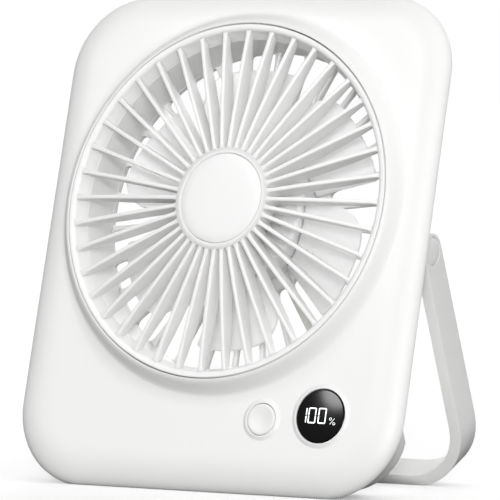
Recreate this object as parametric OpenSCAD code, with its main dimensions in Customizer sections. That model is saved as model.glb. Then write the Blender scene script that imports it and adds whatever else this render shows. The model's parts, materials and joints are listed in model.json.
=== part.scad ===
// Small rechargeable box fan that leans back on a folding U-shaped handle.
// Case pieces are drawn face up: X across the face, Y up the face, Z out of the face.
// The centre of the fan opening is then the zero point. upright() leans them back
// and stands them on the floor.

/* [Case] */
// Overall width of the case
body_w = 158; // [152:1:200]
// Overall height of the case, along its face
body_h = 182; // [174:1:230]
// Corner radius of the case, seen from the front
corner_r = 29; // [24:1:40]
// How far the face leans back from upright
lean = 15.6; // [10:0.1:20]
// Moulded wall thickness
wall = 1.8; // [1.4:0.1:2.4]
// Width of the soft front edge, in from the side
edge_in = 12; // [8:0.5:14]
// Depth of the soft front edge
edge_deep = 5.5; // [4:0.5:8]
// How far the back shell steps in behind the front shell
back_step = 6.4; // [6:0.1:9]
// Depth of the back shell behind the front shell
back_deep = 14.3; // [14:0.1:20]
// Radius of the back shell's rear edge
back_edge_r = 6; // [3:0.5:7]
// How far the battery bulge stands out of the back
bulge_out = 3.5; // [2:0.5:6]
// Height of the fan centre above the middle of the case
fan_rise = 13; // [10:0.5:18]

/* [Fan opening and grilles] */
// Radius of the seam between the case and the front grille
seam_r = 65; // [58:0.5:66]
// Height of the soft round boss around the opening
boss_h = 5.5; // [4:0.5:7]
// Width of the boss, from the seam to its foot
boss_w = 6; // [5:0.5:8]
// Width of the grille's rim
rim_w = 2.5; // [2:0.1:3.5]
// How far the air duct lies inside the seam
duct_in = 4.5; // [4:0.1:6]
// Number of front grille ribs
front_ribs = 40; // [24:1:48]
// Thickness of a front rib
front_rib_t = 1.5; // [1:0.1:2]
// Depth of a front rib at its deepest
front_rib_deep = 7; // [5:0.5:7]
// Radius of the front grille's solid centre
centre_r = 18.7; // [15:0.1:24]
// Radius of the cap set in that centre
cap_r = 16.4; // [12:0.1:16.6]
// Height of the grille's centre over its rim
dome_h = 2; // [1:0.5:3]
// Number of rear grille ribs
back_ribs = 30; // [20:1:40]
// Width of a rear rib
back_rib_t = 1.6; // [1:0.1:2.5]
// Radius of the rear grille's solid centre
back_centre_r = 31; // [29:0.5:36]

/* [Fan and motor] */
// Number of blades
blades = 6; // [3:1:9]
// Gap between the blade tips and the air duct
tip_gap = 8.5; // [6.5:0.5:15]
// Radius of the fan hub
hub_r = 26.8; // [20:0.1:28]
// Angle that one blade covers
blade_span = 50; // [30:1:56]
// Front to back rise of a blade
blade_rise = 8; // [5:0.5:9]
// Blade thickness
blade_t = 1.2; // [0.8:0.1:1.6]
// Radius of the motor's turning can
can_r = 14; // [12:0.5:16]
// Radius of the motor shaft
shaft_r = 1; // [0.75:0.05:1.5]

/* [Controls] */
// Radius of the power button
button_r = 5.7; // [4.5:0.1:7]
// Button centre, to the right of the fan centre
button_x = 25.2; // [15:0.1:30]
// Button centre, below the fan centre
button_drop = 77.8; // [76:0.1:80]
// Travel of the button
button_travel = 0.8; // [0.4:0.1:0.9]
// Radius of the round display lens
lens_r = 9.6; // [8:0.1:11]
// Lens centre, to the right of the fan centre
lens_x = 48.8; // [44:0.1:54]
// Lens centre, below the fan centre
lens_drop = 75.6; // [74:0.1:78]
// Height of the soft collar around the button and the lens
collar_h = 0.6; // [0.4:0.1:1.2]

/* [Handle] */
// Width of the handle strap
strap_w = 12.7; // [10:0.1:13]
// Thickness of the handle strap
strap_t = 4.3; // [3.5:0.1:5]
// Outer corner radius of the handle
handle_corner_r = 24; // [20:0.5:30]
// Angle of the handle arms from upright, when it stands
stand_angle = 22.6; // [18:0.1:26]
// Radius of the pivot pins
pin_r = 2.5; // [2:0.1:3]

/* [Battery] */
// Radius of a battery cell
cell_r = 9.1; // [8:0.1:9.2]
// Length of a battery cell
cell_len = 50; // [44:0.5:50]

/* [Fits] */
// Gap between parts that are pressed or set into each other
fit = 0.1; // [0.05:0.05:0.2]
// Radial clearance of a pin or shaft that turns
run = 0.05; // [0.02:0.01:0.08]
// Gap around parts that move past each other
gap = 0.4; // [0.3:0.1:0.6]

/* [Hidden] */
$fn = 96;
eps = 0.01;
edge_steps = 12;                           // facets in each soft moulded edge

// Levels along the face normal, from the front backwards
face_z = -boss_h;                          // front panel
split_z = face_z - edge_deep - 0.2;        // rear edge of the front shell
back_z = split_z - back_deep;              // rear face of the back shell
ledge_z = face_z - wall;                   // underside of the grille ledge
grille_back_z = back_z + wall + fit;       // underside of the rear grille's flange
grille_deep = 3;                           // depth of the rear grille
grille_z = back_z + 0.3 + grille_deep;     // front of the rear grille

// Outlines
case_y = -fan_rise;                        // middle of the case
back_w = body_w - 2 * back_step;
duct_r = seam_r - duct_in;                 // inside of the air duct
tip_r = duct_r - tip_gap;                  // radius of the blade tips
duct_t = 1.6;
grille_r = seam_r - 0.2;
opening_r = seam_r + 0.2;
rim_flange_r = duct_r + 6;                 // flange of the rear grille

// Handle pivot, in the face-up frame
pivot_y = case_y;
pivot_z = split_z - gap - strap_w / 2;
arm_in = back_w / 2 + gap;                 // inner face of an arm
arm_out = arm_in + strap_t;                // outer face of an arm
foot_flat = 0.4;                           // depth of the flats that meet the floor
washer_r = 5.4;
washer_in = 0.5;                           // depth of the washer's recess in the case
nut_w = 8;
nut_t = 3;
nut_x = back_w / 2 - wall - 1.2 - nut_t;   // inner face of the nut
cap_out_r = 5;                             // cover cap over the pin's head
cap_in = 2.2;                              // depth of the recess for the head and the cap
cap_t = 1;
head_r = 4.3;
head_t = 0.9;

// Standing pose: height over the fan centre, and depth behind it
function up(y, z) = y * cos(lean) + z * sin(lean);
function behind(y, z) = y * sin(lean) - z * cos(lean);
floor_up = up(case_y - body_h / 2, split_z) + foot_flat;
pivot_up = up(pivot_y, pivot_z);
pivot_behind = behind(pivot_y, pivot_z);
strap_drop = strap_w / 2 * sin(stand_angle);
arm_len = (pivot_up - floor_up + foot_flat - strap_drop) / cos(stand_angle);
fold = stand_angle + lean;                 // arm angle out of the case plane

// The back shell clears the handle's cross bar as it swings past
swing_r = arm_len - strap_t - gap;
back_half = sqrt(pow(swing_r, 2) - pow(back_deep - strap_w / 2 - gap, 2));
back_h = 2 * back_half;
back_corner_r = handle_corner_r - 2;

// Front and rear limits of the standing fan, which centre it over the zero point
front_edge = behind(case_y - body_h / 2 + edge_in, face_z - edge_deep)
    - sqrt(pow(edge_in * sin(lean), 2) + pow(edge_deep * cos(lean), 2));
rear_edge = pivot_behind + arm_len * sin(stand_angle) + strap_w / 2 * cos(stand_angle);
mid_y = (front_edge + rear_edge) / 2;

// Flat lead from the motor to the main board
lead_angle = -54;
lead_z = grille_z + 0.7;
lead_w = 3.2;

// Fan and motor levels
hub_top = -9.5;
hub_low = grille_z + 1;
hub_wall = 1.5;
can_t = 0.9;
can_top = hub_top - hub_wall - fit;
base_z = grille_z + 0.8;                   // top of the motor base
board_z = base_z + 0.8;                    // top of the motor board
can_low = board_z + gap;
motor_base_r = 12.5;
tube_r = 3.6;                              // bearing tube that stands on the base
tube_top = can_top - can_t - gap - 0.6;
bearing_r = 3;
bearing_len = 2.3;
magnet_t = 1;
stator_r = can_r - can_t - magnet_t - 0.5;
stator_top = tube_top - 1.4;
stator_low = can_low + 1.8;
slots = 9;

// Controls
collar_w = 2.2;
lens_t = 1.5;
board_t = 1;
control_board_z = ledge_z - 3;             // front of the control board
board_left = button_x - 8.5;
board_right = lens_x + 12.7;
board_posts = [board_left + 2.5, board_right - 2.5];
board_post_y = 6 - lens_drop;
button_flange_z = ledge_z - 0.1;
button_flange_t = 0.8;
main_t = 1.6;
main_z = split_z - 5;                      // front of the main board
main_top_y = 10.5 - duct_r;                // upper edge of the main board
main_left = -30;
main_right = body_w / 2 - 19;
usb_x = 45;
usb_y = -66;
usb_r = 1.6;                               // half height of the socket, with round ends
usb_side = 2.9;                            // from its middle to the centre of an end
main_posts = [[main_right - 3.5, -56], [main_left + 3.5, -74]];

// Battery
cell_y = case_y - back_half + wall + 0.3 + cell_r;
cell_z = back_z - bulge_out + wall + 0.2 + cell_r;
bulge_y = cell_y + cell_r - 1.5;           // top of the bulge's flat

// Screws: bosses of the two shells
screw_r = 1.3;
boss_r = 3.4;
screw_high = [back_w / 2 - 12, case_y + back_half - 12];
screw_low = [back_w / 2 - 6.5, cell_y + cell_r + 7.5];
screw_pts = [for (s = [-1, 1], p = [screw_high, screw_low]) [s * p[0], p[1]]];
boss_top = ledge_z + eps;

white = "#f1f1f0";
steel = "#b9bcc0";

// Leans a face-up piece back and stands it on the floor
module upright() {
    translate([0, -mid_y, -floor_up]) rotate([90 - lean, 0, 0]) children();
}

// Turns a handle piece, drawn hanging in the case plane, to its standing angle
module stood() {
    translate([0, pivot_y, pivot_z]) rotate([fold, 0, 0]) children();
}

function arc(r_in, r_deep, n) =
    [for (i = [1:n]) [r_in * (1 - cos(90 * i / n)), r_deep * sin(90 * i / n)]];

// Slab with round corners; edge lists [inset, level] from the back to the front
module slab(w, h, r, edge) {
    low = edge[0][1];
    high = edge[len(edge) - 1][1];
    corner = concat([[0, low]], [for (p = edge) [r - p[0], p[1]]], [[0, high]]);
    module section(half) {
        polygon(concat([for (p = edge) [half - p[0], p[1]]],
            [for (i = [len(edge) - 1:-1:0]) [edge[i][0] - half, edge[i][1]]]));
    }
    translate([0, h / 2 - r, 0]) rotate([90, 0, 0]) linear_extrude(h - 2 * r) section(w / 2);
    translate([-(w / 2 - r), 0, 0]) rotate([90, 0, 90]) linear_extrude(w - 2 * r) section(h / 2);
    for (sx = [-1, 1], sy = [-1, 1])
        translate([sx * (w / 2 - r), sy * (h / 2 - r), 0]) rotate_extrude() polygon(corner);
}

module tube(r_out, r_in, low, high) {
    translate([0, 0, low]) difference() {
        cylinder(r = r_out, h = high - low);
        translate([0, 0, -1]) cylinder(r = r_in, h = high - low + 2);
    }
}

module disc(r, low, high) {
    translate([0, 0, low]) cylinder(r = r, h = high - low);
}

// Part of an X-Y-Z range that runs right across
module range_box(x0, x1, y0, y1, z0, z1) {
    translate([x0, y0, z0]) cube([x1 - x0, y1 - y0, z1 - z0]);
}

// Soft ring that stands out of the front panel, around a hole
module collar(r, w, h) {
    rotate_extrude() polygon(concat([[r - 1, face_z - 1], [r - 1, face_z + h - 0.2], [r, face_z + h - 0.1]],
        [for (i = [0:8]) [r + w * (0.1 + 0.9 * i / 8), face_z + h * (0.5 + 0.5 * cos(180 * i / 8))]],
        [[r + w, face_z - 1]]));
}

module front_edge_slab(inset, extra) {
    d = edge_deep - inset;
    translate([0, case_y, 0])
        slab(body_w - 2 * inset, body_h - 2 * inset, corner_r - inset,
            concat([[0, split_z - extra], [0, face_z - edge_deep]],
                [for (p = arc(edge_in - inset, d, edge_steps)) [p[0], face_z - edge_deep + p[1]]]));
}

module at_button() { translate([button_x, -button_drop, 0]) children(); }
module at_lens() { translate([lens_x, -lens_drop, 0]) children(); }
module at_screws() { for (p = screw_pts) translate([p[0], p[1], 0]) children(); }

module front_shell() {
    color(white) upright() difference() {
        union() {
            difference() {
                union() {
                    front_edge_slab(0, 0);
                    // soft boss around the fan opening
                    rotate_extrude() polygon(concat([[seam_r - 3, face_z - 1.5], [seam_r - 3, -0.05]],
                        [for (i = [0:edge_steps]) [seam_r + 0.4 + (boss_w - 0.4) * i / edge_steps,
                            face_z + boss_h * (0.5 + 0.5 * cos(180 * i / edge_steps))]],
                        [[seam_r + boss_w, face_z - 1.5]]));
                }
                front_edge_slab(wall, 5);
                // the boss is cored from behind
                rotate_extrude() polygon([[opening_r + wall, ledge_z - 0.5],
                    [opening_r + boss_w - wall - 0.4, ledge_z - 0.5],
                    [opening_r + boss_w - wall - 0.8, face_z - 0.4],
                    [opening_r + wall, face_z + boss_h * 0.45]]);
            }
            // ledge that carries the grille, and the air duct
            tube(opening_r + wall, duct_r, ledge_z, face_z);
            tube(duct_r + duct_t, duct_r, grille_z + fit, face_z);
            at_button() { collar(button_r + fit, collar_w, collar_h); }
            at_lens() { collar(lens_r + fit, collar_w, collar_h); }
            // screw posts
            at_screws() disc(boss_r, split_z - 1.5, boss_top);
            // posts for the control board
            for (x = board_posts)
                translate([x, board_post_y, 0]) disc(2.2, control_board_z, ledge_z + eps);
        }
        disc(opening_r, face_z, 3);
        disc(duct_r, grille_z - 5, face_z + 1);
        at_button() disc(button_r + fit, ledge_z - 2, 3);
        at_lens() disc(lens_r + fit, ledge_z - 2, 3);
        at_screws() disc(screw_r - 0.1, split_z - 3, ledge_z - 0.6);
        for (x = board_posts)
            translate([x, board_post_y, 0]) disc(0.7, control_board_z - 1, ledge_z - 0.4);
        // notch that lets the motor lead out of the duct
        rotate([0, 0, lead_angle]) range_box(duct_r - 1, duct_r + 3,
            -lead_w / 2 - 0.6, lead_w / 2 + 0.6, grille_z - 1, lead_z + 0.6);
        // flat that stands on the floor
        rotate([lean - 90, 0, 0]) translate([0, 0, floor_up - 20])
            cube([3 * body_w, 3 * body_w, 40], center = true);
    }
}

// Height of the front grille's surface at radius r
function dome(r) = dome_h - (dome_h + 0.3) * pow((r - centre_r) / (grille_r - rim_w - centre_r), 2);

module front_grille() {
    rim_in = grille_r - rim_w;
    rib_end = rim_in + 0.6;
    steps = 8;
    module rib() {
        top = [for (i = [0:steps]) let (r = centre_r - 1 + (rib_end - centre_r + 1) * i / steps)
            [r, dome(r) - 0.15]];
        low = [[rib_end, -3.6], [rib_end - 10, 1.6 - front_rib_deep],
            [rib_end - 20, 1.2 - front_rib_deep], [centre_r - 1, 1.6 - front_rib_deep]];
        rotate([90, 0, 0]) translate([0, 0, -front_rib_t / 2])
            linear_extrude(front_rib_t) polygon(concat(top, low));
    }
    color(white) upright() difference() {
        union() {
            rotate_extrude() polygon([[duct_r + fit, face_z + fit], [rim_in, -1], [rim_in + 0.15, -0.5],
                [rim_in + 0.6, -0.15], [rim_in + 1.2, 0], [grille_r - 0.4, 0], [grille_r, -0.4],
                [grille_r, face_z + fit]]);
            disc(centre_r, 1.2 - front_rib_deep, dome_h);
            for (i = [0:front_ribs - 1]) rotate([0, 0, 360 / front_ribs * i]) rib();
        }
        disc(cap_r + fit, dome_h - 1.6, dome_h + 1);
        // the centre is cored from behind
        disc(centre_r - 2.2, -front_rib_deep, dome_h - 3.4);
    }
}

module grille_cap() {
    color(white) upright() rotate_extrude()
        polygon([[0, dome_h - 1.6], [cap_r, dome_h - 1.6], [cap_r, dome_h - 0.3], [cap_r - 0.3, dome_h],
            [cap_r * 0.5, dome_h + 0.15], [0, dome_h + 0.2]]);
}

// Outline of the back shell, with or without the battery bulge
module back_form(inset, top) {
    r = back_edge_r - inset;
    translate([0, case_y, 0]) {
        slab(back_w - 2 * inset, back_h - 2 * inset, back_corner_r - inset,
            concat([for (i = [0:6]) [r * (1 - sin(15 * i)), back_z + inset + r * (1 - cos(15 * i))]],
                [[0, top]]));
        rb = 4 - inset;
        intersection() {
            slab(back_w - 2 * inset, back_h - 2 * inset, back_corner_r - inset,
                concat([for (i = [0:6])
                    [rb * (1 - sin(15 * i)), back_z - bulge_out + inset + rb * (1 - cos(15 * i))]],
                    [[0, top]]));
            y0 = bulge_y - case_y;
            rotate([90, 0, 90]) translate([0, 0, -body_w / 2]) linear_extrude(body_w)
                polygon([[-body_h, back_z + 8], [-body_h, back_z - bulge_out],
                    [y0 - inset, back_z - bulge_out - 1], [y0 + bulge_out - inset, back_z + inset],
                    [y0 + bulge_out - inset, back_z + 8]]);
        }
    }
}

module rear_shell() {
    flange_z = split_z + fit;
    color(white) upright() difference() {
        union() {
            difference() {
                union() {
                    back_form(0, flange_z + 1);
                    // flange that closes the front shell and follows its inside
                    intersection() {
                        front_edge_slab(wall + fit, 1);
                        range_box(-body_w, body_w, -body_h, body_h, flange_z, flange_z + wall);
                    }
                }
                back_form(wall, flange_z + 10);
            }
            // solid blocks that carry the handle's pivots
            for (s = [-1, 1]) {
                inner = back_w / 2 - 6.5;
                range_box(s * inner - 2, s * inner + 2, pivot_y - 8, pivot_y + 8,
                    back_z + 0.5, flange_z + wall);
                range_box(s * (inner + 3) - 3, s * (inner + 3) + 3, pivot_y - 8, pivot_y + 8,
                    back_z + back_edge_r - 0.5, flange_z + wall);
            }
            // screw bosses
            at_screws() disc(boss_r, back_z + 1, split_z - 1.5 - fit);
            // posts for the main board
            for (p = main_posts) translate([p[0], p[1], 0])
                disc(2.2, back_z + 0.5, main_z - main_t);
        }
        disc(rim_flange_r - 1.8 + fit, back_z - 2, grille_back_z + eps);
        // the duct and the grille's flange fill the middle
        disc(rim_flange_r + fit, grille_back_z - fit, 0);
        at_screws() {
            disc(screw_r + 0.2, back_z - 1, 0);
            disc(2.9, back_z - 1, back_z + 2.2);
        }
        for (p = main_posts) translate([p[0], p[1], 0]) disc(0.9, back_z + 2.4, main_z);
        // washer recess, pin hole and nut pocket on each side
        for (s = [-1, 1]) translate([0, pivot_y, pivot_z]) rotate([0, s * 90, 0]) {
            disc(washer_r + fit, back_w / 2 - washer_in, back_w / 2 + 1);
            disc(pin_r, back_w / 2 - 12, back_w / 2);
        }
        for (s = [-1, 1]) nut_form(s, fit, 3);
        // hole for the charging socket
        translate([usb_x, usb_y, 0]) usb_form(fit, back_z - 6, back_z + 6);
    }
}

// Square nut in its pocket; far lengthens it so that it can be slid in from the front
module nut_form(s, room, far) {
    x = s > 0 ? nut_x : -nut_x - nut_t;
    range_box(x - room, x + nut_t + room, pivot_y - nut_w / 2 - room, pivot_y + nut_w / 2 + room,
        pivot_z - nut_w / 2 - room, pivot_z + nut_w / 2 + room + far * 4);
}

module usb_form(room, low, high) {
    for (s = [-1, 1]) translate([s * usb_side, 0, 0]) disc(usb_r + room, low, high);
    range_box(-usb_side, usb_side, -usb_r - room, usb_r + room, low, high);
}

module rear_grille() {
    color(white) upright() difference() {
        union() {
            tube(rim_flange_r, duct_r, grille_back_z, grille_z);
            tube(rim_flange_r - 1.8, duct_r, grille_z - grille_deep, grille_z);
            disc(back_centre_r, grille_z - grille_deep, grille_z);
            for (i = [0:back_ribs - 1]) rotate([0, 0, 360 / back_ribs * (i + 0.5)])
                range_box(back_centre_r - 2, duct_r + 1, -back_rib_t / 2, back_rib_t / 2,
                    grille_z - grille_deep + 0.2, grille_z - 0.2);
        }
        disc(back_centre_r - 4.5, grille_z - grille_deep - 1, grille_z - grille_deep + 0.5);
        motor_holes() disc(0.8, grille_z - grille_deep - 1, grille_z + 1);
    }
}

module motor_holes() { for (i = [0:2]) rotate([0, 0, 120 * i + 30]) translate([10, 0, 0]) children(); }

module impeller() {
    steps_r = 5;
    steps_a = 8;
    root_r = hub_r - 0.6;
    round_r = 9;
    mid_z = (hub_top + hub_low) / 2;
    // half angle of a blade at radius r, with its outer corners rounded off
    function half_at(r) = blade_span / 2 - (r < tip_r - round_r ? 0 :
        (round_r - sqrt(max(0, pow(round_r, 2) - pow(r - tip_r + round_r, 2)))) / r * 180 / PI);
    function blade_z(a) = mid_z + blade_rise * (a / blade_span) + 1.2 * (cos(a * 180 / blade_span) - 0.5);
    function radius(i) = root_r + (tip_r - root_r) * (1 - pow(1 - i / steps_r, 1.6));
    module blade() {
        side = [for (i = [0:steps_r], j = [0:steps_a])
            let (r = radius(i), a = half_at(r) * (2 * j / steps_a - 1))
            [r * cos(a), r * sin(a), blade_z(a)]];
        n = len(side);
        row = steps_a + 1;
        pts = concat([for (p = side) [p[0], p[1], p[2] + blade_t / 2]],
            [for (p = side) [p[0], p[1], p[2] - blade_t / 2]]);
        quads = [for (i = [0:steps_r - 1], j = [0:steps_a - 1]) i * row + j];
        rim = concat([for (j = [0:steps_a - 1]) j],
            [for (i = [0:steps_r - 1]) i * row + steps_a],
            [for (j = [steps_a:-1:1]) steps_r * row + j],
            [for (i = [steps_r:-1:1]) i * row]);
        m = len(rim);
        polyhedron(points = pts, faces = concat(
            [for (q = quads) [q, q + 1, q + row]], [for (q = quads) [q + 1, q + row + 1, q + row]],
            [for (q = quads) [n + q, n + q + row, n + q + 1]],
            [for (q = quads) [n + q + 1, n + q + row, n + q + row + 1]],
            [for (k = [0:m - 1]) [rim[k], n + rim[k], rim[(k + 1) % m]]],
            [for (k = [0:m - 1]) [n + rim[k], n + rim[(k + 1) % m], rim[(k + 1) % m]]]));
    }
    color(white) upright() union() {
        tube(hub_r, hub_r - hub_wall, hub_low, hub_top - 1);
        rotate_extrude() polygon([[0, hub_top - hub_wall], [hub_r - hub_wall - eps, hub_top - hub_wall],
            [hub_r, hub_top - hub_wall], [hub_r, hub_top - 1], [hub_r - 1, hub_top], [0, hub_top]]);
        tube(can_r + fit / 2 + hub_wall, can_r + fit / 2, can_low + 1, hub_top - 1);
        for (i = [0:blades - 1]) rotate([0, 0, 360 / blades * i]) {
            rotate([0, 0, 30]) range_box(can_r + 1, hub_r - 1, -0.6, 0.6, can_low + 3, hub_top - 1);
            rotate([0, 0, 37]) blade();
        }
    }
}

module motor_shaft() {
    color(steel) upright() disc(shaft_r, grille_z + 0.4, can_top - fit);
}

module motor_can() {
    color(steel) upright() difference() {
        disc(can_r, can_low, can_top);
        disc(can_r - can_t, can_low - 1, can_top - can_t);
        disc(shaft_r, can_low, can_top + 1);
    }
}

module motor_magnet() {
    color("#4a4a4c") upright()
        tube(can_r - can_t, can_r - can_t - magnet_t, can_low + 0.6, can_top - can_t - 0.4);
}

module motor_stator() {
    color("#8c8f94") upright() translate([0, 0, stator_low])
        linear_extrude(stator_top - stator_low) difference() {
            union() {
                circle(r = 6.2);
                for (i = [0:slots - 1]) rotate(360 / slots * i) {
                    translate([5, -0.9]) square([stator_r - 5.6, 1.8]);
                    translate([stator_r - 1.2, -3]) square([0.9, 6]);
                }
            }
            circle(r = tube_r);
        }
}

module motor_windings() {
    color("#b8703a") upright()
        for (i = [0:slots - 1]) rotate([0, 0, 360 / slots * i]) difference() {
            range_box(6.5, stator_r - 1.4, -1.7, 1.7, stator_low - 0.7, stator_top + 0.7);
            range_box(6, stator_r, -0.9, 0.9, stator_low, stator_top);
        }
}

module motor_bearings() {
    color(steel) upright() for (z = [base_z, tube_top - bearing_len])
        tube(bearing_r, shaft_r + run, z, z + bearing_len);
}

module motor_base() {
    color("#c9cbce") upright() difference() {
        union() {
            disc(motor_base_r, grille_z, base_z);
            disc(tube_r, grille_z, tube_top);
        }
        disc(bearing_r, base_z, tube_top + 1);
        disc(shaft_r + 0.6, grille_z + 0.2, tube_top);
        motor_holes() disc(0.8, grille_z - 1, tube_top);
    }
}

module motor_board() {
    color("#2f6b46") upright() difference() {
        tube(can_r - 2, tube_r + fit, base_z, board_z);
        motor_holes() disc(1.5, base_z - 1, board_z + 1);
    }
}

module motor_screws() {
    color(steel) upright() motor_holes() {
        disc(0.8, grille_z - grille_deep + 0.5, base_z);
        disc(1.4, grille_z - grille_deep + 0.5 - 0.9, grille_z - grille_deep + 0.5);
    }
}

// Flat lead from the motor board, along the rear grille, to the main board
module motor_lead() {
    color("#d9d9d6") upright() rotate([0, 0, lead_angle]) union() {
        range_box(motor_base_r + fit, duct_r + 8.5, -lead_w / 2, lead_w / 2, grille_z, lead_z);
        range_box(duct_r + 7.7, duct_r + 8.5, -lead_w / 2, lead_w / 2, grille_z, main_z - main_t);
    }
}

module power_button() {
    color(white) upright() at_button() {
        rotate_extrude() polygon([[0, button_flange_z - button_flange_t],
            [button_r + 0.8, button_flange_z - button_flange_t], [button_r + 0.8, button_flange_z],
            [button_r, button_flange_z], [button_r, face_z + collar_h - 0.4],
            [button_r - 0.4, face_z + collar_h], [button_r * 0.5, face_z + collar_h - 0.25],
            [0, face_z + collar_h - 0.35]]);
    }
}

// Case of the push switch on the control board
module button_switch() {
    color("#37383a") upright() at_button() difference() {
        range_box(-2.5, 2.5, -2.5, 2.5, control_board_z, control_board_z + 1);
        disc(1.05, control_board_z + 0.1, control_board_z + 2);
    }
}

module switch_plunger() {
    color("#5a5b5d") upright() at_button()
        disc(1, control_board_z + button_travel + 0.15, button_flange_z - button_flange_t);
}

module display_lens() {
    color("#121314") upright() at_lens() {
        disc(lens_r, face_z + collar_h - 0.2 - lens_t, face_z + collar_h - 0.2);
    }
}

module display_module() {
    color("#2a2b2d") upright() at_lens()
        range_box(-8, 8, -4.6, 4.6, control_board_z, face_z + collar_h - 0.3 - lens_t);
}

module control_board() {
    y_low = cell_y + 0.3
        + sqrt(max(0, pow(cell_r, 2) - pow(control_board_z - board_t - cell_z, 2)));
    color("#2f6b46") upright() difference() {
        range_box(board_left, board_right, y_low, -lens_drop + 8.5, control_board_z - board_t,
            control_board_z);
        for (x = board_posts)
            translate([x, board_post_y, 0]) disc(0.9, control_board_z - 3, control_board_z + 1);
    }
}

module main_board() {
    color("#2f6b46") upright() difference() {
        range_box(main_left, main_right, -lens_drop - 1.6, main_top_y, main_z - main_t, main_z);
        disc(rim_flange_r + 1, main_z - 5, main_z + 5);
        for (p = main_posts) translate([p[0], p[1], 0]) disc(1, main_z - 5, main_z + 5);
    }
}

module usb_socket() {
    color(steel) upright() translate([usb_x, usb_y, 0]) difference() {
        usb_form(0, back_z + 0.3, main_z - main_t);
        usb_form(-0.3, back_z, back_z + 6.5);
    }
    color("#1c1c1d") upright() translate([usb_x, usb_y, 0])
        range_box(-3.3, 3.3, -0.35, 0.35, back_z + 1.2, back_z + 6.5);
}

module board_screws() {
    color(steel) upright() {
        for (x = board_posts) translate([x, board_post_y, 0]) {
            disc(0.7, control_board_z - board_t, ledge_z - 0.5);
            disc(1.4, control_board_z - board_t - 0.8, control_board_z - board_t);
        }
        for (p = main_posts) translate([p[0], p[1], 0]) {
            disc(0.9, back_z + 3, main_z);
            disc(1.8, main_z, main_z + 1);
        }
    }
}

module battery_cells() {
    color("#5d7fa6") upright() for (s = [-1, 1])
        translate([s * (cell_len / 2 + 0.8), cell_y, cell_z]) rotate([0, 90, 0])
            cylinder(r = cell_r, h = cell_len, center = true);
}

module battery_tabs() {
    end = cell_len + 0.8;
    color(steel) upright() {
        range_box(-0.8, 0.8, cell_y - 4, cell_y + 4, cell_z - 4, cell_z + 4);
        for (s = [-1, 1]) translate([s > 0 ? end : -end - 0.4, 0, 0])
            range_box(0, 0.4, cell_y - 4, cell_y + 4, cell_z - 4, cell_z + 4);
    }
}

// U-shaped handle, drawn hanging down from its pivots
module handle() {
    r_in = handle_corner_r - strap_t;
    module outline(half, r, low) {
        union() {
            translate([-half, low + r]) square([2 * half, -low - r]);
            translate([-half + r, low]) square([2 * (half - r), 2 * r]);
            for (s = [-1, 1]) translate([s * (half - r), low + r]) circle(r = r);
        }
    }
    module section_cut() {
        difference() {
            outline(arm_out, handle_corner_r, -arm_len);
            outline(arm_in, r_in, strap_t - arm_len);
            translate([-arm_in, -1]) square([2 * arm_in, 5]);
        }
    }
    color(white) upright() stood() difference() {
        union() {
            translate([0, 0, -strap_w / 2]) linear_extrude(strap_w) section_cut();
            for (s = [-1, 1]) rotate([0, s * 90, 0]) disc(strap_w / 2, arm_in, arm_out);
        }
        for (s = [-1, 1]) rotate([0, s * 90, 0]) {
            disc(pin_r + run, arm_in - 1, arm_out + 1);
            disc(cap_out_r + fit / 2, arm_out - cap_in, arm_out + 1);
        }
        // flat that stands on the floor, along the lower rear edge of the cross bar
        rotate([-fold, 0, 0]) translate([0, -pivot_y, -pivot_z]) rotate([lean - 90, 0, 0])
            translate([0, 0, floor_up - 20]) cube([3 * body_w, 3 * body_w, 40], center = true);
    }
}

// Shouldered pin, from its head in the arm to the nut in the case
module pivot_pins() {
    color(steel) upright() translate([0, pivot_y, pivot_z])
        for (s = [-1, 1]) rotate([0, s * 90, 0]) {
            disc(pin_r, nut_x, arm_out - cap_in + 0.1 + head_t);
            disc(head_r, arm_out - cap_in + 0.1, arm_out - cap_in + 0.1 + head_t);
        }
}

module pivot_caps() {
    color(white) upright() stood() for (s = [-1, 1]) rotate([0, s * 90, 0])
        disc(cap_out_r, arm_out - cap_t, arm_out);
}

module friction_washers() {
    color("#5f6163") upright() translate([0, pivot_y, pivot_z])
        for (s = [-1, 1]) rotate([0, s * 90, 0])
            tube(washer_r, pin_r, back_w / 2 - washer_in, back_w / 2 + gap - 0.1);
}

module pivot_nuts() {
    color("#c3a257") upright() difference() {
        for (s = [-1, 1]) nut_form(s, 0, 0);
        translate([0, pivot_y, pivot_z]) rotate([0, 90, 0])
            cylinder(r = pin_r, h = 2 * body_w, center = true);
    }
}

module case_screws() {
    color(steel) upright() at_screws() {
        disc(screw_r - 0.1, back_z + 2.2, boss_top - 3);
        disc(2.6, back_z + 0.6, back_z + 2.2);
    }
}

front_shell();
front_grille();
grille_cap();
rear_shell();
rear_grille();
impeller();
motor_shaft();
motor_can();
motor_magnet();
motor_stator();
motor_windings();
motor_bearings();
motor_base();
motor_board();
motor_screws();
motor_lead();
power_button();
button_switch();
switch_plunger();
display_lens();
display_module();
control_board();
main_board();
usb_socket();
board_screws();
battery_cells();
battery_tabs();
handle();
pivot_pins();
pivot_caps();
friction_washers();
pivot_nuts();
case_screws();
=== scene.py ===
import json
import math

import bpy
from mathutils import Matrix, Vector


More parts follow.
